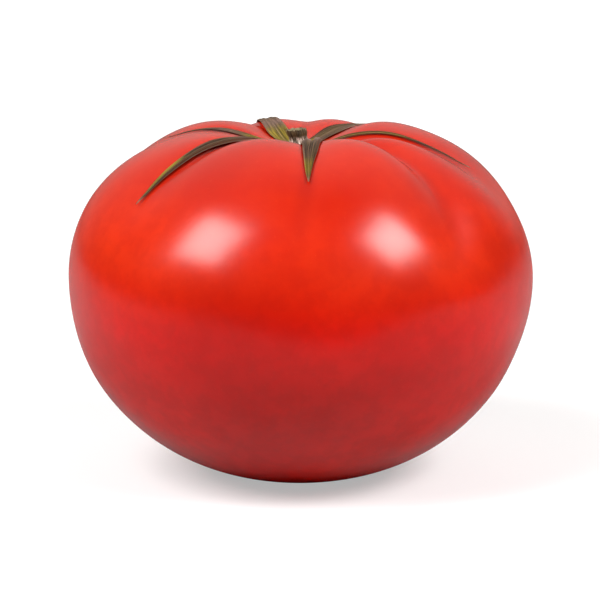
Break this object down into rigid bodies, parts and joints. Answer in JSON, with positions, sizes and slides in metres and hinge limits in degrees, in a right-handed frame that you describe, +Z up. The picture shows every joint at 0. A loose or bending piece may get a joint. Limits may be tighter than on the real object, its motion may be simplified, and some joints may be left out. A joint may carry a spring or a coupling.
{
  "type": "tomato",
  "caption": "Large ripe ribbed tomato, flattened round, with a hollow at the stem, dried sepals and a short stem stub.",
  "frame": {"origin": "centre of the small flat spot that the tomato rests on", "axes": "+Z up through the stem; -Y is the side seen first; +X to the right"},
  "size_m": [0.1, 0.0999, 0.0755],
  "materials": {
    "tomato_skin": "smooth glossy waxy red skin",
    "sepal": "matt drying leaf, green-brown to purple-brown, with fine lengthwise veins",
    "stem": "dry ridged plant stalk, olive brown"
  },
  "bodies": {
    "root": {"fruit": "tomato_skin", "calyx": "sepal", "stem": "stem"}
  },
  "joints": []
}
